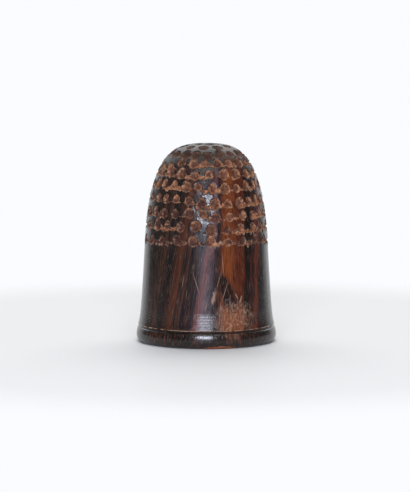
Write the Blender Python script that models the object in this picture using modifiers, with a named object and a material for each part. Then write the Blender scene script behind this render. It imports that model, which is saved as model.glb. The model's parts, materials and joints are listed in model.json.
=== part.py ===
"""A sewing thimble, turned from one billet of dark striped hardwood.

Run it with blender --background --python part.py, or from Blender's text editor. Units are metres and +Z
is up. The thimble stands on its foot: the origin is at the middle of the foot, at the level of the table,
and the front faces -Y. The turned body is a profile spun by a Screw modifier, and one Boolean cuts the
rows of round pits that hold the needle's head.
"""

import math
import random

import bmesh
import bpy
from mathutils import Matrix, Vector

MM = 0.001

# Overall sizes
HEIGHT = 28.3 * MM
RIM_RADIUS = 10.0 * MM  # the foot bead's widest point

# The foot bead, and the V line scribed above it
BEAD_WIDEST_Z = 1.05 * MM
BEAD_TOP_Z = 2.10 * MM
BEAD_UNDERCUT = 0.80 * MM  # how far the bead rounds in under its widest point
BEAD_LEAN = 0.18 * MM  # how far the bead leans in by its top
SCRIBE_WIDTH = 0.40 * MM
SCRIBE_DEPTH = 0.28 * MM

# The skirt: a straight taper with a small flare where it meets the scribed line
SHOULDER_Z = 14.0 * MM
SHOULDER_INSET = 1.19 * MM  # how far the shoulder stands inside the rim
SIDE_TAPER = 0.057  # radius lost for each unit of height
FLARE = 0.29 * MM
FLARE_LENGTH = 1.3 * MM

# The crown is a superellipse from the shoulder up to the top
CROWN_HEIGHT_POWER = 2.58
CROWN_RADIUS_POWER = 3.4

# The finger bore: a taper, then an elliptical dome
WALL = 1.60 * MM  # at the shoulder
MOUTH_WALL = 1.80 * MM  # under the foot bead
MOUTH_CHAMFER = 0.20 * MM
DOME_RISE = 6.0 * MM
CROWN_THICKNESS = 3.5 * MM

# The pits, in rows that are level with a little of the hand in them
PIT_RADIUS = 0.66 * MM
PIT_DEPTH = 0.42 * MM
PIT_CLEAR = 0.12 * MM  # how far a pit's cutter stands off the surface
PIT_SPREAD = 0.16  # the share by which a pit is larger or smaller than PIT_RADIUS
PIT_WANDER = 0.13 * MM  # how far a pit strays from its place
PIT_SIDES = 7
PIT_FLOOR = 0.58  # a pit's floor, as a share of its mouth

# Each row, from the crown down. The numbers are: how far the row lies below the one before, along the
# surface (the first is measured from the middle of the crown); pits in the row; the angle of the pit nearest
# the front, in degrees to the right; how far the row's front is cut below its back; how far the row's end
# lies above its start, after one turn to the right; and the angle of that start. The lengths are in mm.
ROWS = (
    (1.35, 5, 20, 0.00, 0.00, 180),
    (1.90, 10, -7, 0.10, 0.00, 180),
    (1.90, 18, -17, 0.10, -0.20, 120),
    (1.85, 21, -1, 0.10, -0.80, -39),
    (1.50, 21, 4, 0.00, 0.15, -30),
    (1.85, 25, -8, 0.10, 0.25, -5),
    (2.10, 27, -5, 0.15, 0.65, -11),
    (1.95, 26, -4, 0.00, 0.45, 2),
    (1.90, 24, 5, 0.00, 0.55, -3),
    (2.10, 22, 4, -0.35, 0.10, -4),
)

TURN_STEPS = 48
CROWN_STEPS = 11
SIDE_STEPS = 3
FLARE_STEPS = 3
BEAD_STEPS = 3
DOME_STEPS = 5
OUTLINE_SAMPLES = 400
SEED = 7


def clear_scene():
    for old in list(bpy.data.objects):
        bpy.data.objects.remove(old, do_unlink=True)


def new_collection(name):
    collection = bpy.data.collections.new(name)
    bpy.context.scene.collection.children.link(collection)
    return collection


def new_object(name, bm, collection):
    mesh = bpy.data.meshes.new(name)
    bm.to_mesh(mesh)
    bm.free()
    made = bpy.data.objects.new(name, mesh)
    collection.objects.link(made)
    return made


def tapered_radius(z):
    """The skirt's straight taper, which also runs on under the crown."""
    return RIM_RADIUS - SHOULDER_INSET + SIDE_TAPER * (SHOULDER_Z - z)


def crown_point(turn):
    """(radius, z) on the crown: turn is 0 at the shoulder and a right angle at the top."""
    rise = abs(math.sin(turn)) ** (2 / CROWN_HEIGHT_POWER)
    z = SHOULDER_Z + (HEIGHT - SHOULDER_Z) * rise
    return tapered_radius(z) * abs(math.cos(turn)) ** (2 / CROWN_RADIUS_POWER), z


def skirt_point(z):
    above_scribe = z - BEAD_TOP_Z - SCRIBE_WIDTH
    return tapered_radius(z) + FLARE * math.exp(-above_scribe / FLARE_LENGTH), z


def crown_outline(steps):
    """From the top down to the shoulder. The top point lies on the axis."""
    turns = [math.pi / 2 * (1 - step / steps) for step in range(1, steps + 1)]
    return [(0.0, HEIGHT)] + [crown_point(turn) for turn in turns]


def skirt_outline(side_steps, flare_steps):
    """From just under the shoulder down to the scribed line's upper edge."""
    scribe_top = BEAD_TOP_Z + SCRIBE_WIDTH
    flare_top = scribe_top + 2 * FLARE_LENGTH
    side = [SHOULDER_Z + (flare_top - SHOULDER_Z) * step / side_steps for step in range(1, side_steps + 1)]
    flare = [flare_top + (scribe_top - flare_top) * step / flare_steps for step in range(1, flare_steps + 1)]
    return [skirt_point(z) for z in side + flare]


def foot_outline(steps):
    """The scribed line, then the bead down to the flat of the foot."""
    points = [(RIM_RADIUS - BEAD_LEAN - SCRIBE_DEPTH, BEAD_TOP_Z + SCRIBE_WIDTH / 2)]
    for step in range(steps + 1):
        share = 1 - step / steps
        points.append((
            RIM_RADIUS - BEAD_LEAN * share**2,
            BEAD_WIDEST_Z + (BEAD_TOP_Z - BEAD_WIDEST_Z) * share,
        ))
    for step in range(1, steps + 1):
        turn = math.pi / 2 * step / steps
        points.append((
            RIM_RADIUS - BEAD_UNDERCUT * (1 - math.cos(turn)),
            BEAD_WIDEST_Z * (1 - math.sin(turn)),
        ))
    return points


def bore_outline(steps):
    """From the mouth's chamfer up the tapered bore and over its dome to the axis."""
    mouth = RIM_RADIUS - MOUTH_WALL
    dome_top = HEIGHT - CROWN_THICKNESS
    dome_start = dome_top - DOME_RISE
    narrow = tapered_radius(dome_start) - WALL
    points = [(mouth + MOUTH_CHAMFER, 0.0), (mouth, MOUTH_CHAMFER)]
    for step in range(steps):
        turn = math.pi / 2 * step / steps
        points.append((narrow * math.cos(turn), dome_start + DOME_RISE * math.sin(turn)))
    return points + [(0.0, dome_top)]


def outline_frames():
    """(distance from the crown's middle, radius, z, outward normal) at close steps down the outside."""
    points = crown_outline(OUTLINE_SAMPLES) + skirt_outline(OUTLINE_SAMPLES, FLARE_STEPS)
    frames = []
    travelled = 0.0
    for (radius, z), (next_radius, next_z) in zip(points, points[1:]):
        along = Vector((next_radius - radius, next_z - z))
        frames.append((travelled, radius, z, Vector((-along.y, along.x)).normalized()))
        travelled += along.length
    return frames


def frame_at(frames, distance):
    return min(frames, key=lambda frame: abs(frame[0] - distance))


def pit_places():
    """(point on the surface, outward normal, size) of each pit, row by row."""
    hand = random.Random(SEED)
    frames = outline_frames()
    places = []
    row_level = 0.0
    for row_gap, count, first_angle, front_drop, row_lead, row_start in ROWS:
        row_level += row_gap * MM
        for pit in range(count):
            angle = math.radians(first_angle + 360 * pit / count)
            round_the_turn = (math.degrees(angle) - row_start) % 360 / 360
            level = row_level + front_drop * MM * math.cos(angle)
            level += -row_lead * MM * (round_the_turn - 0.5) + PIT_WANDER * hand.uniform(-1, 1)
            _, radius, z, normal = frame_at(frames, level)
            angle += PIT_WANDER * hand.uniform(-1, 1) / radius
            outwards = Vector((math.sin(angle), -math.cos(angle), 0.0))
            point = outwards * radius + Vector((0, 0, z))
            size = 1 + PIT_SPREAD * hand.uniform(-1, 1)
            places.append((point, outwards * normal.x + Vector((0, 0, normal.y)), size))
    return places


def make_pit_cutter(collection):
    """One blunt cone for each pit, with its floor in the wood and its mouth a little way off the surface."""
    widening = PIT_RADIUS * (1 - PIT_FLOOR) / PIT_DEPTH
    bm = bmesh.new()
    for point, normal, size in pit_places():
        middle = point + normal * (PIT_CLEAR - PIT_DEPTH * size) / 2
        bmesh.ops.create_cone(
            bm,
            cap_ends=True,
            segments=PIT_SIDES,
            radius1=PIT_RADIUS * PIT_FLOOR * size,
            radius2=PIT_RADIUS * size + widening * PIT_CLEAR,
            depth=PIT_DEPTH * size + PIT_CLEAR,
            matrix=Matrix.Translation(middle) @ normal.to_track_quat("Z", "Y").to_matrix().to_4x4(),
        )
    cutter = new_object("pit_cutter", bm, collection)
    cutter.hide_render = True
    cutter.display_type = "WIRE"
    return cutter


def make_hardwood():
    wood = bpy.data.materials.new("polished_hardwood")
    wood.use_nodes = True
    shader = wood.node_tree.nodes["Principled BSDF"]
    shader.inputs["Base Color"].default_value = (0.065, 0.026, 0.016, 1.0)
    shader.inputs["Roughness"].default_value = 0.3
    shader.inputs["Metallic"].default_value = 0.0
    return wood


def make_body(collection, cutter):
    outline = crown_outline(CROWN_STEPS) + skirt_outline(SIDE_STEPS, FLARE_STEPS)
    outline += foot_outline(BEAD_STEPS) + bore_outline(DOME_STEPS)
    bm = bmesh.new()
    corners = [bm.verts.new((radius, 0.0, z)) for radius, z in outline]
    for corner, following in zip(corners, corners[1:]):
        bm.edges.new((corner, following))
    body = new_object("thimble_body", bm, collection)
    body.data.materials.append(make_hardwood())

    turning = body.modifiers.new("turning", "SCREW")
    turning.axis = "Z"
    turning.steps = TURN_STEPS
    turning.render_steps = TURN_STEPS
    turning.use_merge_vertices = True
    turning.merge_threshold = 1e-6
    turning.use_smooth_shade = True

    pits = body.modifiers.new("pits", "BOOLEAN")
    pits.operation = "DIFFERENCE"
    pits.solver = "EXACT"
    pits.use_self = True
    pits.object = cutter
    return body


clear_scene()
thimble = new_collection("thimble")
cutters = new_collection("cutters")
make_body(thimble, make_pit_cutter(cutters))
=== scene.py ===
# %% [markdown]
# # A turned wooden thimble
# The real thing is one billet of dark striped hardwood. It was turned on a lathe, hollowed for a finger,
# scribed with one fine line above the foot and polished. Rows of small pits were then cut by hand, so the
# polish is gone there and the bare wood shows. This file models its finished surface over a plain solid of
# the same size, which the frame holds, and then gives it a material, a table and soft light.

# %% The frame and its sizes
import json
import math
import random

import bmesh
import bpy
import numpy as np
from mathutils import Matrix, Vector, noise

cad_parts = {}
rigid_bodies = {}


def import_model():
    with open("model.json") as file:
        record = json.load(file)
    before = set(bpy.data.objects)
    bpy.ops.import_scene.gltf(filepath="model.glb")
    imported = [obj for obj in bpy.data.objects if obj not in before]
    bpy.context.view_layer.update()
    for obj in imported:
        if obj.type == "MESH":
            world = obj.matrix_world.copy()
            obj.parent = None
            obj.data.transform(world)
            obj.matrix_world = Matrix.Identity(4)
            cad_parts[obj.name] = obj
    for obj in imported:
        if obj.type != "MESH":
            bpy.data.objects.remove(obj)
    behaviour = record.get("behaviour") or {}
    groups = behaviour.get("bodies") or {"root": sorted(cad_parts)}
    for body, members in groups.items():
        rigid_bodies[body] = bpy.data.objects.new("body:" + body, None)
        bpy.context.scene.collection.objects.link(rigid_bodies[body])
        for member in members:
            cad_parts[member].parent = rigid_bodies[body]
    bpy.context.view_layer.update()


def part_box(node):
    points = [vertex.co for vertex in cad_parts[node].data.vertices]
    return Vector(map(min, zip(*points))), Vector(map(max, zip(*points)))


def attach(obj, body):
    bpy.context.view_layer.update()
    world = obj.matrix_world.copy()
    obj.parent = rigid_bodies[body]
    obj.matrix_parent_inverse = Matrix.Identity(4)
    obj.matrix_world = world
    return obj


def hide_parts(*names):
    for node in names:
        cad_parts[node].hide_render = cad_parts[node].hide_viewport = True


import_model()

MM = 0.001
body_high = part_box("thimble_body")[1]
HEIGHT = body_high.z
RIM_RADIUS = body_high.x
print(f"thimble: {2 * RIM_RADIUS / MM:.1f} mm across the foot, {HEIGHT / MM:.1f} mm tall")

# %% [markdown]
# ## The lathe's outline
# A turner cuts the outside with a few sweeps of a gouge: over the crown, down the skirt, in at the scribed
# line and round the foot bead. Each sweep is a short formula here. The crown is a superellipse, which is
# flatter on top and fuller at the shoulder than a ball. All lengths are real ones, so that any pattern can
# be measured along the surface.

# %% The outside of the thimble
BEAD_WIDEST_Z = 1.05 * MM
BEAD_TOP_Z = 2.10 * MM
BEAD_UNDERCUT = 0.80 * MM
BEAD_LEAN = 0.18 * MM
SCRIBE_WIDTH = 0.40 * MM
SCRIBE_DEPTH = 0.28 * MM
SCRIBE_TOP_Z = BEAD_TOP_Z + SCRIBE_WIDTH
SHOULDER_Z = 14.0 * MM
SHOULDER_INSET = 1.19 * MM
SIDE_TAPER = 0.057
FLARE = 0.29 * MM
FLARE_LENGTH = 1.3 * MM
CROWN_HEIGHT_POWER = 2.58
CROWN_RADIUS_POWER = 3.4


def tapered_radius(z):
    """The skirt's straight taper, which also runs on under the crown."""
    return RIM_RADIUS - SHOULDER_INSET + SIDE_TAPER * (SHOULDER_Z - z)


def crown_point(turn):
    """(radius, z) on the crown: turn is 0 at the shoulder and a right angle at the top."""
    rise = abs(math.sin(turn)) ** (2 / CROWN_HEIGHT_POWER)
    z = SHOULDER_Z + (HEIGHT - SHOULDER_Z) * rise
    return tapered_radius(z) * abs(math.cos(turn)) ** (2 / CROWN_RADIUS_POWER), z


def skirt_point(z):
    return tapered_radius(z) + FLARE * math.exp(-(z - SCRIBE_TOP_Z) / FLARE_LENGTH), z


def between(start, end, steps):
    """Evenly spaced values after start, up to end."""
    return [start + (end - start) * step / steps for step in range(1, steps + 1)]


OUTLINE_SAMPLES = 1500
outline = [(0.0, HEIGHT)]
outline += [crown_point(turn) for turn in between(math.pi / 2, 0.0, OUTLINE_SAMPLES)]
outline += [skirt_point(z) for z in between(SHOULDER_Z, SCRIBE_TOP_Z, OUTLINE_SAMPLES)]
outline = np.array(outline)
steps_along = np.diff(outline, axis=0)
travel = np.concatenate([[0.0], np.cumsum(np.hypot(*steps_along.T))])
print(f"from the crown's middle to the scribed line: {travel[-1] / MM:.1f} mm along the surface")

# %% [markdown]
# ## Finding a place on the surface
# The pits are spaced by tape, so to speak: so many millimetres from the middle of the crown, measured along
# the curve. Three small functions turn such a distance into a radius, a height and an outward direction,
# and turn any vertex back into its distance. The last one uses the angle seen from a point low on the
# axis, because that angle grows steadily all the way down, where height alone stands still on the flat top.

# %% Along the surface and back
LOOKOUT_Z = HEIGHT * 0.45


def at_distance(distance):
    """(radius, z) at distances along the outside from the crown's middle."""
    return np.interp(distance, travel, outline[:, 0]), np.interp(distance, travel, outline[:, 1])


def outward_at(distance):
    """(radial, upward) parts of the outward direction there."""
    reach = 0.05 * MM
    radius_a, z_a = at_distance(distance - reach)
    radius_b, z_b = at_distance(distance + reach)
    length = np.hypot(radius_b - radius_a, z_b - z_a)
    return (z_a - z_b) / length, (radius_b - radius_a) / length


def distance_of(radius, z):
    seen = np.arctan2(outline[:, 0], outline[:, 1] - LOOKOUT_Z)
    return np.interp(np.arctan2(radius, z - LOOKOUT_Z), seen, travel)


# %% [markdown]
# ## Turning the blank
# The blank is spun from its outline. Its mesh has to be fine where the pits will be cut, about a tenth of a
# millimetre, but nowhere else, so it is spun in bands: few steps near the middle of the crown, where the
# rings are short, many round the pitted sides, and fewer again on the smooth skirt and in the bore. The
# open ends of neighbouring bands are then joined with `bridge_loops`, which also joins rings of unlike
# counts.

# %% The bands of the outline
PIT_STEPS = 576
CROWN_BANDS = ((2.30 * MM, 0.110 * MM, PIT_STEPS // 4), (4.20 * MM, 0.108 * MM, PIT_STEPS // 2))
PIT_BAND_END = 19.7 * MM
PIT_SPACING = 0.122 * MM
SKIRT_STEPS = PIT_STEPS // 2
BORE_STEPS = PIT_STEPS // 4
BEAD_RINGS, UNDERCUT_RINGS, BORE_RINGS, DOME_RINGS = 6, 9, 5, 10
SKIRT_SPACING = 0.42 * MM
ARRIS_SPACING = 0.20 * MM  # from the last ring of the skirt to the scribed line
NICK = 0.04 * MM  # half the flat at the bottom of the scribed line
WALL = 1.60 * MM
MOUTH_WALL = 1.80 * MM
MOUTH_CHAMFER = 0.20 * MM
DOME_RISE = 6.0 * MM
CROWN_THICKNESS = 3.5 * MM


def surface_run(start, end, spacing):
    """Points along the outside from start to end, about spacing apart, both ends included."""
    steps = max(1, round((end - start) / spacing))
    return [tuple(map(float, at_distance(value))) for value in [start] + between(start, end, steps)]


def foot_run():
    """The scribed line, the bead, and the flat of the foot as far as the mouth's chamfer."""
    bead_top = RIM_RADIUS - BEAD_LEAN
    scribe_middle = BEAD_TOP_Z + SCRIBE_WIDTH / 2
    scribe_floor = bead_top - SCRIBE_DEPTH
    points = [skirt_point(SCRIBE_TOP_Z)]
    points += [(scribe_floor, scribe_middle + NICK), (scribe_floor, scribe_middle - NICK)]
    for share in [1.0] + between(1.0, 0.0, BEAD_RINGS):
        z = BEAD_WIDEST_Z + (BEAD_TOP_Z - BEAD_WIDEST_Z) * share
        points.append((RIM_RADIUS - BEAD_LEAN * share**2, z))
    for turn in between(0.0, math.pi / 2, UNDERCUT_RINGS):
        points.append((
            RIM_RADIUS - BEAD_UNDERCUT * (1 - math.cos(turn)),
            BEAD_WIDEST_Z * (1 - math.sin(turn)),
        ))
    return points


def bore_run():
    mouth = RIM_RADIUS - MOUTH_WALL
    dome_top = HEIGHT - CROWN_THICKNESS
    dome_start = dome_top - DOME_RISE
    narrow = tapered_radius(dome_start) - WALL
    points = [(mouth + MOUTH_CHAMFER, 0.0), (mouth + 0.06 * MM, 0.06 * MM), (mouth, MOUTH_CHAMFER)]
    points += [(mouth + (narrow - mouth) * share, MOUTH_CHAMFER + (dome_start - MOUTH_CHAMFER) * share)
               for share in between(0.0, 1.0, BORE_RINGS)]
    for turn in between(0.0, math.pi / 2, DOME_RINGS):
        points.append((narrow * math.cos(turn), dome_start + DOME_RISE * math.sin(turn)))
    points[-1] = (0.0, dome_top)
    return points


bands = []
band_start = 0.0
for band_end, spacing, steps in CROWN_BANDS + ((PIT_BAND_END, PIT_SPACING, PIT_STEPS),):
    bands.append((surface_run(band_start, band_end, spacing), steps))
    band_start = band_end + spacing
bands[0][0][0] = (0.0, HEIGHT)
skirt_run = surface_run(band_start, float(travel[-1]) - ARRIS_SPACING, SKIRT_SPACING)
bands.append((skirt_run + foot_run(), SKIRT_STEPS))
bands.append((bore_run(), BORE_STEPS))
print("rings in each band:", [len(points) for points, steps in bands])

# %% [markdown]
# A fine spin is slow, because each step looks through the whole mesh. So only an eighth of each band is
# spun, and then it is copied and turned three times, doubling each time. The copies meet edge to edge, and
# a point on the axis lies many times in one place, so `remove_doubles` closes the seams and the pole.


# %% Spinning and bridging
DOUBLINGS = 3


def spin_band(points, steps):
    """Spins one band of the outline round the axis and returns it as a mesh."""
    bm = bmesh.new()
    corners = [bm.verts.new((0.0, -radius, z)) for radius, z in points]
    edges = [bm.edges.new(pair) for pair in zip(corners, corners[1:])]
    turned = 2 * math.pi / 2**DOUBLINGS
    bmesh.ops.spin(bm, geom=corners + edges, cent=(0, 0, 0), axis=(0, 0, 1), angle=turned,
                   steps=steps // 2**DOUBLINGS)
    for doubling in range(DOUBLINGS):
        copied = bmesh.ops.duplicate(bm, geom=bm.verts[:] + bm.edges[:] + bm.faces[:])["geom"]
        new_verts = [item for item in copied if isinstance(item, bmesh.types.BMVert)]
        bmesh.ops.rotate(bm, verts=new_verts, cent=(0, 0, 0), matrix=Matrix.Rotation(turned, 3, "Z"))
        turned *= 2
    bmesh.ops.remove_doubles(bm, verts=bm.verts, dist=1e-7)
    mesh = bpy.data.meshes.new("band")
    bm.to_mesh(mesh)
    bm.free()
    return mesh


def open_ring(bm, point):
    """The open edges that lie on the circle of an outline point."""
    radius, z = point
    return [edge for edge in bm.edges if edge.is_boundary and all(
        abs(vert.co.z - z) < 1e-6 and abs(vert.co.xy.length - radius) < 1e-6 for vert in edge.verts)]


def turn_blank():
    bm = bmesh.new()
    last_point = None
    for points, steps in bands:
        band = spin_band(points, steps)
        bm.from_mesh(band)
        bpy.data.meshes.remove(band)
        if last_point:
            bmesh.ops.bridge_loops(bm, edges=open_ring(bm, last_point) + open_ring(bm, points[0]))
        last_point = points[-1]
    bmesh.ops.recalc_face_normals(bm, faces=bm.faces)
    open_edges = sum(edge.is_boundary for edge in bm.edges)
    print(f"blank: {len(bm.verts)} vertices, {len(bm.faces)} faces, {open_edges} open edges")
    return bm


blank = turn_blank()

# %% [markdown]
# ## Where the pits go
# The pits were spaced by eye. Each row starts at its own place and runs once round the thimble, and its
# end misses its start by up to half a pitch, so the rows are shallow spirals with a visible step. A short
# table gives what the maker decided for each row, and a seeded random hand adds what they did not.

# %% The rows of pits
PIT_RADIUS = 0.66 * MM
PIT_SPREAD = 0.16
PIT_WANDER = 0.13 * MM
SEED = 7

# From the crown down: how far the row lies below the one before, in mm; the number of pits; the angle of the
# pit nearest the front, in degrees to the right; how far the row's front is cut below its back, in mm; how
# far its end lies above its start, in mm; and the angle of that start, in degrees.
ROWS = (
    (1.35, 5, 20, 0.00, 0.00, 180),
    (1.90, 10, -7, 0.10, 0.00, 180),
    (1.90, 18, -17, 0.10, -0.20, 120),
    (1.85, 21, -1, 0.10, -0.80, -39),
    (1.50, 21, 4, 0.00, 0.15, -30),
    (1.85, 25, -8, 0.10, 0.25, -5),
    (2.10, 27, -5, 0.15, 0.65, -11),
    (1.95, 26, -4, 0.00, 0.45, 2),
    (1.90, 24, 5, 0.00, 0.55, -3),
    (2.10, 22, 4, -0.35, 0.10, -4),
)


def row_level(row, angle):
    """The distance from the crown's middle at which a row passes an angle, in radians to the right."""
    front_drop, row_lead, row_start = ROWS[row][3:]
    round_the_turn = (np.degrees(angle) - row_start) % 360 / 360
    level = sum(gaps[0] for gaps in ROWS[:row + 1]) * MM + front_drop * MM * np.cos(angle)
    return level - row_lead * MM * (round_the_turn - 0.5)


def pit_places():
    """(row, angle, distance from the crown's middle, size) of each pit."""
    hand = random.Random(SEED)
    places = []
    for row, (gap, count, first_angle, *rest) in enumerate(ROWS):
        for pit in range(count):
            angle = math.radians(first_angle + 360 * pit / count)
            level = float(row_level(row, angle)) + PIT_WANDER * hand.uniform(-1, 1)
            angle += PIT_WANDER * hand.uniform(-1, 1) / float(at_distance(level)[0])
            places.append((row, angle, level, 1 + PIT_SPREAD * hand.uniform(-1, 1)))
    return places


pits = pit_places()
print(len(pits), "pits in", len(ROWS), "rows")

# %% [markdown]
# ## Cutting the pits
# Each pit is a scoop from a small round tool. The grain tears as the tool leaves, so a pit is rarely a
# clean circle: many have a point at the top, where a sliver broke out along the grain. The tool also
# skipped from pit to pit and left a thin ragged cut along each row. Booleans would give clean machine
# holes, so the vertices are pushed in along the outward direction instead, by a depth worked out for each
# one. That depth is also kept as an attribute, so that the material knows where the polish is gone.

# %% Measuring the blank's surface
PIT_DEPTH = 0.46 * MM


def finish_mesh(bm, name):
    mesh = bpy.data.meshes.new(name)
    bm.to_mesh(mesh)
    bm.free()
    made = bpy.data.objects.new(name, mesh)
    bpy.context.scene.collection.objects.link(made)
    return made


thimble = finish_mesh(blank, "turned_thimble")
count = len(thimble.data.vertices)
places = np.empty(count * 3)
thimble.data.vertices.foreach_get("co", places)
places = places.reshape(-1, 3)
radii = np.hypot(places[:, 0], places[:, 1])
angles = np.arctan2(places[:, 0], -places[:, 1])
levels = distance_of(radii, places[:, 2])
on_line = np.hypot(radii - at_distance(levels)[0], places[:, 2] - at_distance(levels)[1]) < 0.02 * MM
pitted = np.flatnonzero(on_line & (levels < PIT_BAND_END))
print(f"{len(pitted)} of {count} vertices lie where the pits are")


# %% Noise that follows the grain
def grain_noise(indices, across, along, octaves=2, shift=0.0):
    """Noise for these vertices, with cells of the given size across and along the grain, from -1 to 1."""
    scale = Vector((1 / across, 1 / across, 1 / along))
    return np.array([
        noise.fractal(Vector(places[index] * scale) + Vector((shift, shift, shift)), 1.0, 2.0, octaves)
        for index in indices
    ])


torn = grain_noise(pitted, 0.35 * MM, 0.9 * MM)
fibres = grain_noise(pitted, 0.16 * MM, 0.5 * MM, shift=9.0)
print(f"torn grain from {torn.min():.2f} to {torn.max():.2f}")

# %% [markdown]
# A pit's depth depends on how far a vertex is from its centre, as a share of its edge. The edge is a circle
# stretched upwards to a point by a random amount, and frayed by the grain noise. The power below gives
# steep walls and a round floor.


# %% The scoops
def scoop_depths():
    """(depth at each pitted vertex, how bare the wood is there) from all of the pits."""
    hand = random.Random(SEED + 1)
    depth = np.zeros(len(pitted))
    bare = np.full(len(pitted), -1.0)
    here = places[pitted]
    for row, angle, level, size in pits:
        radius, z = at_distance(level)
        radial, upward = outward_at(level)
        outwards = np.array((math.sin(angle), -math.cos(angle), 0.0))
        centre = outwards * radius + np.array((0.0, 0.0, z))
        normal = outwards * radial + np.array((0.0, 0.0, upward))
        sideways = np.array((math.cos(angle), math.sin(angle), 0.0))
        uphill = np.cross(normal, sideways)
        point = hand.uniform(0.0, 0.55) ** 1.3
        skew = hand.uniform(-0.15, 0.15)
        deep = hand.uniform(0.8, 1.15)
        near = np.flatnonzero(((here - centre) ** 2).sum(axis=1) < (1.5 * MM) ** 2)
        away = here[near] - centre
        across = away @ sideways
        along = away @ uphill
        turn = np.arctan2(across - skew * along, along)
        edge = PIT_RADIUS * size * (1 + point * np.clip(np.cos(turn), 0, 1) ** 3 + 0.16 * torn[near])
        share = np.hypot(across, along) / edge
        inside = np.clip(1 - share**2, 0, 1)
        depth[near] = np.maximum(depth[near], PIT_DEPTH * deep * size * inside**0.62)
        bare[near] = np.maximum(bare[near], 1 - share)
    return depth, bare


pit_depth, bareness = scoop_depths()
print(f"deepest pit {pit_depth.max() / MM:.2f} mm")

# %% [markdown]
# The cut that links the pits of a row runs a little below their middles. It fades in and out with a slow
# noise, and its edges are as frayed as the pits'.

# %% The cut along each row
LINK_DROP = 0.30 * MM
LINK_HALF_WIDTH = 0.27 * MM
LINK_DEPTH = 0.20 * MM


def link_rows(depth, bare):
    presence = grain_noise(pitted, 1.6 * MM, 1.6 * MM, octaves=1, shift=30.0)
    for row in range(2, len(ROWS)):
        offset = levels[pitted] - row_level(row, angles[pitted]) - LINK_DROP
        width = LINK_HALF_WIDTH * (1 + 1.2 * torn) * np.clip(0.70 + 2.2 * presence, 0.02, 1.5)
        share = np.abs(offset) / np.maximum(width, 0.02 * MM)
        inside = np.clip(1 - share**2, 0, 1)
        depth = np.maximum(depth, LINK_DEPTH * inside**0.7)
        bare = np.maximum(bare, (1 - share) * 0.5)
    return depth, bare


cut_depth, bareness = link_rows(pit_depth, bareness)

# %% [markdown]
# Inside the cuts the wood is rough with broken fibres, and a small burr stands up along their edges. The
# burr never rises above the top of the thimble.

# %% Moving the vertices
FIBRE_ROUGHNESS = 0.08 * MM
BURR = 0.045 * MM
SHARPEST_CURVE = 48.0  # degrees: an edge sharper than this keeps its crease

radial, upward = outward_at(levels[pitted])
outward = np.column_stack((np.sin(angles[pitted]) * radial, -np.cos(angles[pitted]) * radial, upward))
cutness = np.clip(cut_depth / (0.10 * MM), 0, 1)
push = -cut_depth + FIBRE_ROUGHNESS * fibres * cutness
push += BURR * np.exp(-((bareness + 0.12) / 0.10) ** 2) * np.clip(0.4 + torn, 0, 1)
moved = places.copy()
moved[pitted] += outward * push[:, None]
moved[:, 2] = np.minimum(moved[:, 2], HEIGHT)
thimble.data.vertices.foreach_set("co", moved.ravel())

bare_wood = np.full(count, -1.0)
bare_wood[pitted] = bareness
attribute = thimble.data.attributes.new("bare_wood", "FLOAT", "POINT")
attribute.data.foreach_set("value", bare_wood.astype(np.float32))
depth_mm = np.zeros(count)
depth_mm[pitted] = -push / MM
attribute = thimble.data.attributes.new("cut_depth_mm", "FLOAT", "POINT")
attribute.data.foreach_set("value", depth_mm.astype(np.float32))
thimble.data.shade_smooth()
thimble.data.set_sharp_from_angle(angle=math.radians(SHARPEST_CURVE))
thimble.data.update()
triangles = sum(len(face.vertices) - 2 for face in thimble.data.polygons)
print(f"finished body: {triangles} triangles")

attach(thimble, "root")
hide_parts("thimble_body")

# %% [markdown]
# ## The hardwood
# The wood is a rosewood-like hardwood: near-black heartwood with red-brown and orange stripes. The stripes
# are layers in the billet, so they follow a distance across the wood and not the round surface. On the
# front they show as upright stripes, and on the two sides as broad figure, as on any turned piece. A colour
# ramp lists them in order. Left of the middle they lean to the right, as the grain does there.

# %% Colours and nodes
SMOOTH = {"interpolation_type": "SMOOTHSTEP"}  # a Map Range from 0 to 1 with a soft turn at both ends
COLOUR = {"data_type": "RGBA"}  # a Mix of two colours


def linear(hex_colour):
    """An sRGB hex colour as linear RGBA."""
    channels = [int(hex_colour[start:start + 2], 16) / 255 for start in (1, 3, 5)]
    turned = [value / 12.92 if value <= 0.04045 else ((value + 0.055) / 1.055) ** 2.4 for value in channels]
    return (*turned, 1.0)


def add(tree, kind, *values, **named):
    """Adds a node and gives its first open output. Plain values go to its open inputs in order, a name that
    starts with a capital is the input of that name, and any other name is a setting."""
    node = tree.nodes.new("ShaderNode" + kind)
    for name in filter(str.islower, named):
        setattr(node, name, named[name])
    pairs = list(zip([socket for socket in node.inputs if socket.enabled], values))
    pairs += [(node.inputs[name.replace("_", " ")], named[name]) for name in named if not name.islower()]
    for socket, value in pairs:
        if isinstance(value, bpy.types.NodeSocket):
            tree.links.new(value, socket)
        else:
            socket.default_value = value
    return next((socket for socket in node.outputs if socket.enabled), None)


def new_material(name):
    material = bpy.data.materials.new(name)
    material.use_nodes = True
    return material, material.node_tree, material.node_tree.nodes["Principled BSDF"]


# %% Places and streaks
def millimetres(tree):
    """The place on the object, in millimetres, and its three parts."""
    metres = add(tree, "TexCoord").node.outputs["Object"]
    place = add(tree, "VectorMath", metres, Scale=1 / MM, operation="SCALE")
    return place, add(tree, "SeparateXYZ", place).node.outputs


def streaks(tree, place, across, along, detail=3.0, roughness=0.55):
    """Noise from 0 to 1 in cells of that many millimetres across and along the grain."""
    squeezed = add(tree, "Mapping", Vector=place, Scale=(1 / across, 1 / across, 1 / along))
    return add(tree, "TexNoise", squeezed, 1.0, detail, roughness)


def times(tree, first, *others):
    """The product of masks and shares."""
    for other in others:
        first = add(tree, "Math", first, other, operation="MULTIPLY")
    return first


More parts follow.
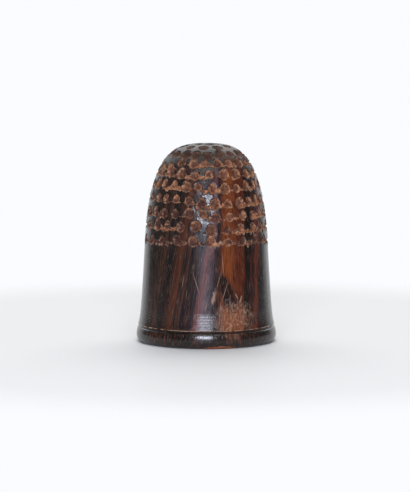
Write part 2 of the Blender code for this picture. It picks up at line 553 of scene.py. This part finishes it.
# %% The layers of the billet
# The first number is the distance across the billet from its axis, in millimetres, at the skirt's height.
LAYERS = (
    (-10.0, "#241b18"), (-8.2, "#221815"), (-7.2, "#2d1f19"), (-6.7, "#41291e"), (-6.3, "#1e1a1b"),
    (-5.8, "#171415"), (-5.0, "#3f241b"), (-4.3, "#512c1d"), (-3.8, "#1b171a"), (-3.3, "#4a2d24"),
    (-2.9, "#161519"), (-2.2, "#33201f"), (-1.5, "#1f1b20"), (-0.8, "#633735"), (-0.2, "#603c3b"),
    (0.3, "#45343a"), (0.9, "#331f22"), (1.4, "#131218"), (2.0, "#4a261b"), (2.5, "#733618"),
    (3.2, "#7e3f1c"), (4.0, "#5c2a16"), (5.3, "#52200f"), (5.45, "#0f0a09"), (6.2, "#130d0c"),
    (6.4, "#4a1f16"), (6.7, "#150f0e"), (6.95, "#602a1c"), (7.4, "#56251a"), (7.6, "#1a1413"),
    (10.0, "#1e1917"),
)
LAYER_REACH = 10.0
LEAN = 0.17  # how far the left layers lean to the right for each millimetre up
LEAN_FROM_Z = 8.0


def layer_colour(tree, across):
    """The colour at a distance across the billet."""
    colour = add(tree, "ValToRGB", add(tree, "MapRange", across, -LAYER_REACH, LAYER_REACH))
    stops = colour.node.color_ramp.elements
    while len(stops) < len(LAYERS):
        stops.new(0.5)
    for stop, (distance, layer) in zip(stops, LAYERS):
        stop.position = 0.5 + 0.5 * distance / LAYER_REACH
        stop.color = linear(layer)
    return colour


def straighten(tree, parts):
    """The distance across the billet, and the place with the lean of the grain taken out."""
    x, y, z = parts
    left = add(tree, "MapRange", x, 2.6, 0.6, **SMOOTH)
    leaning = times(tree, left, add(tree, "Math", z, -LEAN_FROM_Z, operation="ADD"))
    across = add(tree, "Math", leaning, -LEAN, x, operation="MULTIPLY_ADD")
    behind = add(tree, "Math", y, 0.0, operation="MAXIMUM")
    across = add(tree, "Math", behind, 0.3, across, operation="MULTIPLY_ADD")
    return across, add(tree, "CombineXYZ", across, y, z)


# %% [markdown]
# Use has marked the front of the skirt: a dark flame in the orange stripe, a patch above the foot where
# the polish is worn off in flecks, a scuff, some hairline scratches, and a bare place under the edge of the
# foot. Each is the same kind of mark, an ellipse with a frayed edge, so one function makes them all.


# %% Marks on the front
def mark(tree, place, parts, centre, half_size, lean=0.0, fray=0.5, soft=0.15, grit=0.3):
    """1 inside an ellipse on the front, 0 outside. Its sizes are in millimetres, across and up."""
    x, y, z = parts
    up = add(tree, "Math", z, centre[1], operation="SUBTRACT")
    side = add(tree, "Math", x, centre[0], operation="SUBTRACT")
    side = add(tree, "Math", up, -lean, side, operation="MULTIPLY_ADD")
    offset = add(tree, "CombineXYZ", side, 0.0, up)
    offset = add(tree, "VectorMath", offset, (1 / half_size[0], 1.0, 1 / half_size[1]), operation="MULTIPLY")
    reach = add(tree, "VectorMath", offset, operation="LENGTH")
    noise_here = add(tree, "Math", streaks(tree, place, grit, grit * 2.5), 0.5, operation="SUBTRACT")
    ragged = add(tree, "Math", noise_here, 2 * fray, reach, operation="MULTIPLY_ADD")
    inside = add(tree, "MapRange", ragged, 1.0 + soft, 1.0 - soft, **SMOOTH)
    return times(tree, inside, add(tree, "MapRange", y, 0.0, -0.5, **SMOOTH))


HAIRLINES = (
    ((2.35, 12.0), (0.05, 1.5), -0.09), ((1.75, 9.6), (0.045, 0.9), 0.25), ((2.7, 8.3), (0.045, 1.2), 0.28),
    ((1.95, 5.2), (0.05, 1.6), 0.11), ((0.0, 6.0), (0.045, 0.8), 0.28), ((-3.3, 9.5), (0.045, 0.9), 0.16),
    ((-1.4, 9.2), (0.05, 1.3), -0.3), ((4.9, 6.9), (0.09, 0.5), 0.3), ((4.3, 7.4), (0.10, 0.35), -0.4),
)


def hairlines(tree, place, parts):
    """Every scratch, as one mask."""
    scratched = 0.0
    for centre, half_size, lean in HAIRLINES:
        scratch = mark(tree, place, parts, centre, half_size, lean, fray=0.45, soft=0.45, grit=0.25)
        scratched = add(tree, "Math", scratched, scratch, operation="MAXIMUM")
    return scratched


# %% [markdown]
# ## The finish
# Over the layers come fine dark fibres and short pale dashes, which are the pores of the wood filled with
# polishing dust. In the cuts the polish is gone: the wood is matte, warm and speckled, with pale broken
# fibres along the edges that also carry a painted highlight, and painted shade where it is deep. The crown
# shows end grain, which takes more oil and so is darker. The foot bead was cut into a darker part of the
# billet, so it has streaks of its own.


# %% Polished wood
def polished_colour(tree, place, parts):
    across, grain = straighten(tree, parts)
    z = parts[2]
    waver = add(tree, "Math", streaks(tree, grain, 3.0, 16.0, detail=2.0), 0.5, operation="SUBTRACT")
    fray = add(tree, "Math", streaks(tree, grain, 0.40, 6.0), 0.5, operation="SUBTRACT")
    shifted = add(tree, "Math", fray, 1.1, across, operation="MULTIPLY_ADD")
    shifted = add(tree, "Math", waver, 0.9, shifted, operation="MULTIPLY_ADD")
    wood = layer_colour(tree, shifted)
    bead_noise = streaks(tree, grain, 0.5, 24.0, roughness=0.65)
    bead_streaks = add(tree, "MapRange", bead_noise, 0.52, 0.70, **SMOOTH)
    bead_wood = add(tree, "Mix", bead_streaks, linear("#120e0d"), linear("#5a2e20"), **COLOUR)
    on_bead = times(tree, add(tree, "MapRange", z, 2.35, 2.25, **SMOOTH), 0.92)
    wood = add(tree, "Mix", on_bead, wood, bead_wood, **COLOUR)
    flame = mark(tree, place, parts, (3.1, 7.4), (0.95, 3.0), lean=-0.28, fray=0.5, soft=0.22, grit=0.25)
    wood = add(tree, "Mix", times(tree, flame, 0.95), wood, linear("#100b0e"), **COLOUR)

    fine = streaks(tree, grain, 0.14, 4.5, detail=4.0, roughness=0.65)
    dark_fibres = times(tree, add(tree, "MapRange", fine, 0.53, 0.36, **SMOOTH), 0.7)
    red_fibres = times(tree, add(tree, "MapRange", fine, 0.54, 0.70, **SMOOTH), 0.30)
    wood = add(tree, "Mix", dark_fibres, wood, linear("#0c0808"), **COLOUR)
    wood = add(tree, "Mix", red_fibres, wood, linear("#8a4a30"), **COLOUR)
    pores = streaks(tree, grain, 0.10, 1.4, detail=1.0)
    pores = times(tree, add(tree, "MapRange", pores, 0.64, 0.73, **SMOOTH), 0.42)
    wood = add(tree, "Mix", pores, wood, linear("#85705f"), **COLOUR)
    end_grain = times(tree, add(tree, "MapRange", z, 23.8, 27.0, **SMOOTH), 0.72)
    return add(tree, "Mix", end_grain, wood, linear("#1f1a17"), **COLOUR), fine, end_grain


# %% Wear, and painted highlight and shade at the scribed line
SCRIBE_LOW, SCRIBE_HIGH = BEAD_TOP_Z / MM, SCRIBE_TOP_Z / MM
INSIDE_RADIUS = 8.8  # mm: the marks at the scribed line stop short of the bore


def worn_colour_and_painted_light(tree, place, parts, wood):
    """The wood with its wear and with painted highlight and shade at the scribed line, how far the polish is
    worn off there and elsewhere, and the crack in the bead.
    """
    x, y, z = parts
    warm = mark(tree, place, parts, (4.1, 3.9), (1.5, 1.6), fray=1.3, soft=0.8, grit=0.4)
    wood = add(tree, "Mix", times(tree, warm, 0.75), wood, linear("#8a4c2a"), **COLOUR)
    patch = mark(tree, place, parts, (4.0, 4.2), (2.0, 2.2), fray=1.1, soft=0.5, grit=0.5)
    flecks = add(tree, "MapRange", streaks(tree, place, 0.30, 0.55, 4.0, 0.75), 0.44, 0.64, **SMOOTH)
    scuff = mark(tree, place, parts, (1.05, 7.2), (0.22, 0.90), lean=0.2, fray=1.0, soft=0.5, grit=0.2)
    uneven = add(tree, "MapRange", streaks(tree, place, 0.9, 0.9), 0.35, 0.62, **SMOOTH)
    radius = add(tree, "VectorMath", add(tree, "CombineXYZ", x, y, 0.0), operation="LENGTH")
    outside = add(tree, "MapRange", radius, INSIDE_RADIUS, INSIDE_RADIUS + 0.3, **SMOOTH)
    # The pale top edge of the scribed line is partly worn polish and partly a painted highlight, where that
    # sharp edge catches the light.
    arris_wear_and_highlight = times(
        tree,
        outside,
        add(tree, "MapRange", z, SCRIBE_HIGH + 0.16, SCRIBE_HIGH + 0.05, **SMOOTH),
        add(tree, "MapRange", z, SCRIBE_HIGH - 0.05, SCRIBE_HIGH + 0.01, **SMOOTH),
        uneven,
    )
    patch = times(tree, patch, flecks, 0.62)
    rubbed_and_arris_highlight = add(tree, "Math", patch, times(tree, scuff, 0.45), operation="MAXIMUM")
    rubbed_and_arris_highlight = add(tree, "Math", rubbed_and_arris_highlight, times(tree, arris_wear_and_highlight, 0.55), operation="MAXIMUM")
    rubbed_and_arris_highlight = add(tree, "Math", rubbed_and_arris_highlight, times(tree, hairlines(tree, place, parts), 0.42), operation="MAXIMUM")
    wood = add(tree, "Mix", rubbed_and_arris_highlight, wood, linear("#c09474"), **COLOUR)
    foot_edge = mark(tree, place, parts, (1.9, 0.0), (2.3, 0.42), fray=0.5)
    wood = add(tree, "Mix", times(tree, foot_edge, 0.85), wood, linear("#9a5428"), **COLOUR)

    # Painted shade and dirt: the groove of the scribed line is darkened in the colour, for the shade in the
    # V cut and the dark wax caught there.
    groove_shade_and_dirt = times(
        tree,
        outside,
        add(tree, "MapRange", z, SCRIBE_LOW - 0.03, SCRIBE_LOW + 0.06, **SMOOTH),
        add(tree, "MapRange", z, SCRIBE_HIGH, SCRIBE_HIGH - 0.10, **SMOOTH),
        0.7,
    )
    wander = add(tree, "Math", streaks(tree, place, 50.0, 0.5), 0.5, 0.75, operation="MULTIPLY_ADD")
    from_crack = add(tree, "Math", x, wander, operation="SUBTRACT")
    from_crack = add(tree, "Math", from_crack, operation="ABSOLUTE")
    crack = times(
        tree,
        add(tree, "MapRange", from_crack, 0.07, 0.02, **SMOOTH),
        add(tree, "MapRange", z, SCRIBE_LOW + 0.2, SCRIBE_LOW + 0.1, **SMOOTH),
        add(tree, "MapRange", y, 0.0, -0.5, **SMOOTH),
    )
    black = add(tree, "Math", groove_shade_and_dirt, times(tree, crack, 0.85), operation="MAXIMUM")
    wood = add(tree, "Mix", black, wood, linear("#0c0808"), **COLOUR)
    return wood, add(tree, "Math", rubbed_and_arris_highlight, foot_edge, operation="MAXIMUM"), crack


# %% Bare wood in the cuts
# The bare wood is made paler towards the crown and to the right. These are for each mm.
PALER_TO_THE_RIGHT = 0.010
PALER_UPWARDS = 0.020
PIT_MIDDLE_Z = 19.0


def bare_colour(tree, place, parts, wood, edge, depth):
    # The real broken fibres are about 0.1 mm wide. They are drawn three times as coarse, so that they show.
    grit = streaks(tree, place, 0.32, 0.42, detail=3.0, roughness=0.75)
    patchy = streaks(tree, place, 1.6, 1.0, detail=2.0)
    paler = add(tree, "Math", parts[0], PALER_TO_THE_RIGHT, patchy, operation="MULTIPLY_ADD")
    up = add(tree, "Math", parts[2], PIT_MIDDLE_Z, operation="SUBTRACT")
    paler = add(tree, "Math", up, PALER_UPWARDS, paler, operation="MULTIPLY_ADD")
    raw = add(tree, "MapRange", paler, 0.38, 0.60, **SMOOTH)
    raw = add(tree, "Mix", raw, linear("#5f2817"), linear("#bd784e"), **COLOUR)
    dark = times(tree, add(tree, "MapRange", grit, 0.49, 0.38, **SMOOTH), 0.90)
    light = times(tree, add(tree, "MapRange", grit, 0.53, 0.63, **SMOOTH), 0.85)
    raw = add(tree, "Mix", dark, raw, linear("#2a120c"), **COLOUR)
    raw = add(tree, "Mix", light, raw, linear("#dcae88"), **COLOUR)
    # Painted shade: the deeper a cut, the darker its floor is painted.
    deep = times(tree, add(tree, "MapRange", depth, 0.16, 0.44, **SMOOTH), 0.75)
    raw = add(tree, "Mix", deep, raw, linear("#431b11"), **COLOUR)
    # The rims of the cuts are painted paler: torn fibres, and partly a painted highlight where the lips
    # catch the light.
    rim_fibres_and_highlight = times(tree, add(tree, "MapRange", edge, 0.22, 0.04, **SMOOTH), 0.45)
    rim_fibres_and_highlight = times(tree, rim_fibres_and_highlight, add(tree, "MapRange", grit, 0.44, 0.54, **SMOOTH))
    raw = add(tree, "Mix", rim_fibres_and_highlight, raw, linear("#dcb493"), **COLOUR)
    raw = add(tree, "Mix", 0.18, raw, wood, **COLOUR)
    oiled = times(tree, add(tree, "MapRange", parts[2], 25.4, 27.2, **SMOOTH), 0.72)
    return add(tree, "Mix", oiled, raw, linear("#30211a"), **COLOUR), grit


# %% The whole material
TOOL_FEED = 0.21  # millimetres that the gouge moved for each turn of the lathe


def make_hardwood():
    """Rosewood-like hardwood, turned, sanded and waxed. The wax gives a soft gloss on a dark, warm wood."""
    material, tree, shader = new_material("waxed_striped_hardwood")
    place, parts = millimetres(tree)
    wood, fine, end_grain = polished_colour(tree, place, parts)
    wood, rubbed_and_arris_highlight, crack = worn_colour_and_painted_light(tree, place, parts, wood)

    edge = add(tree, "Attribute", attribute_name="bare_wood").node.outputs["Fac"]
    depth = add(tree, "Attribute", attribute_name="cut_depth_mm").node.outputs["Fac"]
    tear = add(tree, "Math", streaks(tree, place, 0.15, 0.28), 0.5, operation="SUBTRACT")
    torn_edge = add(tree, "Math", tear, 0.32, edge, operation="MULTIPLY_ADD")
    bare = add(tree, "MapRange", torn_edge, -0.03, 0.05, **SMOOTH)
    raw, grit = bare_colour(tree, place, parts, wood, edge, depth)
    tree.links.new(add(tree, "Mix", bare, wood, raw, **COLOUR), shader.inputs["Base Color"])

    matte = add(tree, "Math", times(tree, bare, 0.85), times(tree, rubbed_and_arris_highlight, 0.7), operation="MAXIMUM")
    gloss = add(tree, "Math", fine, 0.16, 0.12, operation="MULTIPLY_ADD")
    gloss = add(tree, "Math", end_grain, 0.34, gloss, operation="MULTIPLY_ADD")
    tree.links.new(add(tree, "Mix", matte, gloss, 0.56), shader.inputs["Roughness"])
    shader.inputs["IOR"].default_value = 1.5

    height = times(tree, grit, matte, 0.34)
    height = add(tree, "Math", streaks(tree, place, 1.1, 1.5, 2.0), 0.028, height, operation="MULTIPLY_ADD")
    height = add(tree, "Math", fine, 0.010, height, operation="MULTIPLY_ADD")
    height = add(tree, "Math", times(tree, end_grain, grit), 0.08, height, operation="MULTIPLY_ADD")
    height = add(tree, "Math", crack, -0.05, height, operation="MULTIPLY_ADD")
    tool_band = times(
        tree,
        add(tree, "MapRange", parts[2], 2.5, 2.8, **SMOOTH),
        add(tree, "MapRange", parts[2], 5.6, 4.2, **SMOOTH),
    )
    tool_lines = add(tree, "Math", times(tree, parts[2], 2 * math.pi / TOOL_FEED), operation="SINE")
    height = add(tree, "Math", times(tree, tool_lines, tool_band), 0.004, height, operation="MULTIPLY_ADD")
    bump = add(tree, "Bump", Strength=1.0, Distance=MM, Height=height)
    tree.links.new(bump, shader.inputs["Normal"])
    return material


hardwood = make_hardwood()
thimble.data.materials.append(hardwood)
print(hardwood.name, "has", len(hardwood.node_tree.nodes), "nodes")

# %% [markdown]
# ## The table, the light and the camera
# The thimble stands on a pale round table in a white surround. The table's colour fades to the white of the
# surround at its edge, so it has no edge in any view.

# %% The table
TABLE_RADIUS = 80 * MM
FADE_START, FADE_END = 50.0, 76.0
WHITE_PAPER = linear("#fafcff")


def make_table_finish():
    """White painted board: a pale, almost matte surface that keeps a soft shadow."""
    material, tree, shader = new_material("white_painted_board")
    shader.inputs["Base Color"].default_value = linear("#ececeb")
    shader.inputs["Roughness"].default_value = 0.60
    shader.inputs["Specular IOR Level"].default_value = 0.2
    reach = add(tree, "VectorMath", millimetres(tree)[0], operation="LENGTH")
    seen = add(tree, "LightPath").node.outputs["Is Camera Ray"]
    share = times(tree, add(tree, "MapRange", reach, FADE_START, FADE_END, **SMOOTH), seen)
    blend = add(tree, "MixShader", share, shader.outputs[0], add(tree, "Emission", WHITE_PAPER, 1.0))
    tree.links.new(blend, tree.nodes["Material Output"].inputs["Surface"])
    return material


bm = bmesh.new()
bmesh.ops.create_circle(bm, cap_ends=True, segments=96, radius=TABLE_RADIUS)
table = finish_mesh(bm, "table")
table.data.materials.append(make_table_finish())
print("table", TABLE_RADIUS / MM, "mm in radius")

# %% [markdown]
# Dark polish shows its surroundings. White paper stands behind the thimble, which the camera sees from every
# side, and which the polish mirrors only where it is, at the two edges. In front are a soft window and the
# dim glow around it, and overhead are two wide panels that light the table and the lower lips of the pits.


# %% The surround
def make_surround():
    world = bpy.data.worlds.new("white_room")
    world.use_nodes = True
    tree = world.node_tree
    tree.nodes.clear()
    direction = add(tree, "SeparateXYZ", add(tree, "TexCoord").node.outputs["Generated"]).node.outputs
    behind = add(tree, "MapRange", direction[1], 0.55, 0.80, **SMOOTH)
    path = add(tree, "LightPath").node.outputs
    mirrored = add(tree, "Math", path["Is Glossy Ray"], path["Is Transmission Ray"], operation="MAXIMUM")
    seen = add(tree, "Math", path["Is Camera Ray"], times(tree, mirrored, behind), operation="MAXIMUM")
    room = add(tree, "Background", linear("#f6f7f9"), 0.16)
    add(tree, "OutputWorld", add(tree, "MixShader", seen, room, add(tree, "Background", WHITE_PAPER, 1.0)))
    bpy.context.scene.world = world


make_surround()


# %% The lights
def make_panel(name, azimuth, elevation, distance, width, height, brightness, colour="#ffffff"):
    """A soft rectangular light that faces the thimble. Azimuth 0 is in front and grows to the right, and
    brightness is how bright its face is, where 1 is a white sheet in plain light."""
    turn, rise = math.radians(azimuth), math.radians(elevation)
    light = bpy.data.lights.new(name, "AREA")
    light.shape = "RECTANGLE"
    light.size, light.size_y = width, height
    light.energy = brightness * math.pi * width * height
    light.color = linear(colour)[:3]
    made = bpy.data.objects.new(name, light)
    direction = Vector((math.sin(turn) * math.cos(rise), -math.cos(turn) * math.cos(rise), math.sin(rise)))
    made.location = Vector((0, 0, HEIGHT / 2)) + direction * distance
    made.rotation_euler = direction.to_track_quat("Z", "Y").to_euler()
    made.visible_camera = False
    bpy.context.scene.collection.objects.link(made)


make_panel("window", -2, 15, 0.60, 0.24, 0.10, 28.0, "#e9efff")
make_panel("window_glow", -3, 16, 0.62, 0.26, 0.46, 1.35, "#dfe6ff")
make_panel("ceiling_back", 180, 50, 0.60, 1.00, 0.60, 1.80)
make_panel("ceiling_front", 0, 62, 0.60, 0.36, 0.30, 3.0)
bpy.context.scene.view_settings.view_transform = "Standard"

# %% [markdown]
# The camera is a long lens a little above the thimble, which keeps the foot and the crown in proportion.

# %% The camera
CAMERA_DISTANCE = 0.600
CAMERA_ELEVATION = math.radians(6.5)
FIELD_HEIGHT = 70.45 * MM
AIM_Z = 13.62 * MM
AIM_X = -0.18 * MM

camera_data = bpy.data.cameras.new("camera")
camera_data.sensor_width = 36.0
camera_data.lens = camera_data.sensor_width * CAMERA_DISTANCE / FIELD_HEIGHT
camera = bpy.data.objects.new("camera", camera_data)
toward = Vector((0.0, -math.cos(CAMERA_ELEVATION), math.sin(CAMERA_ELEVATION)))
camera.location = Vector((AIM_X, 0.0, AIM_Z)) + toward * CAMERA_DISTANCE
camera.rotation_euler = toward.to_track_quat("Z", "Y").to_euler()
bpy.context.scene.collection.objects.link(camera)
bpy.context.scene.camera = camera
